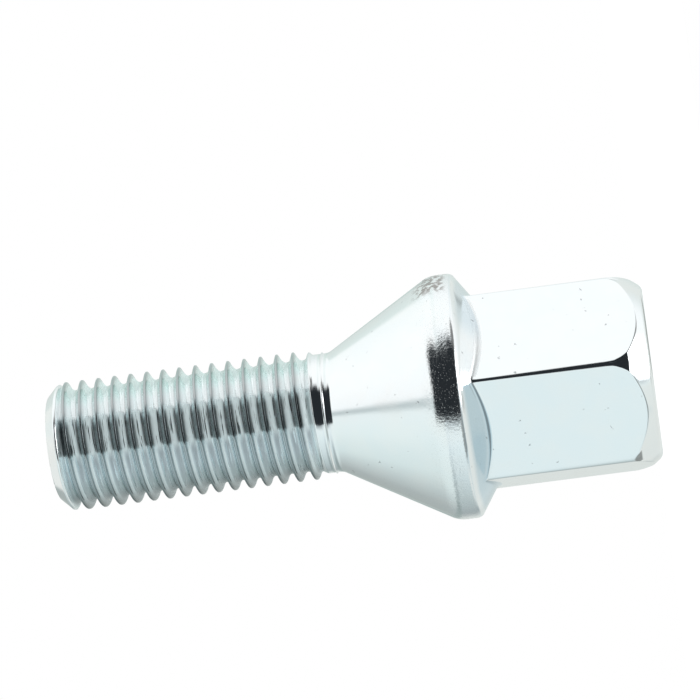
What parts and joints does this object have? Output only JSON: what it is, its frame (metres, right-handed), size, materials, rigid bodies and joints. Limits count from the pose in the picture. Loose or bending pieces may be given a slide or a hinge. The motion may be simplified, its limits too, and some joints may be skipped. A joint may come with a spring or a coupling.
{
  "type": "wheel bolt",
  "caption": "Zinc-plated hexagon-head wheel bolt with a taper seat, a short collar and a metric fine thread, made as one forged piece.",
  "frame": {"origin": "centre of the round flat on the head end, on which the bolt stands", "axes": "+Z along the bolt's axis, from the head end to the point; +X through one long edge of the hexagon, so that two of its flats face +Y and -Y"},
  "size_m": [0.0222, 0.0222, 0.0546],
  "materials": {
    "zinc_plated_steel": "bright zinc plating with a faint blue tint, smooth on the seat and flats, rough on the collar's rim"
  },
  "bodies": {
    "root": {"wheel_bolt": "zinc_plated_steel"}
  },
  "joints": []
}
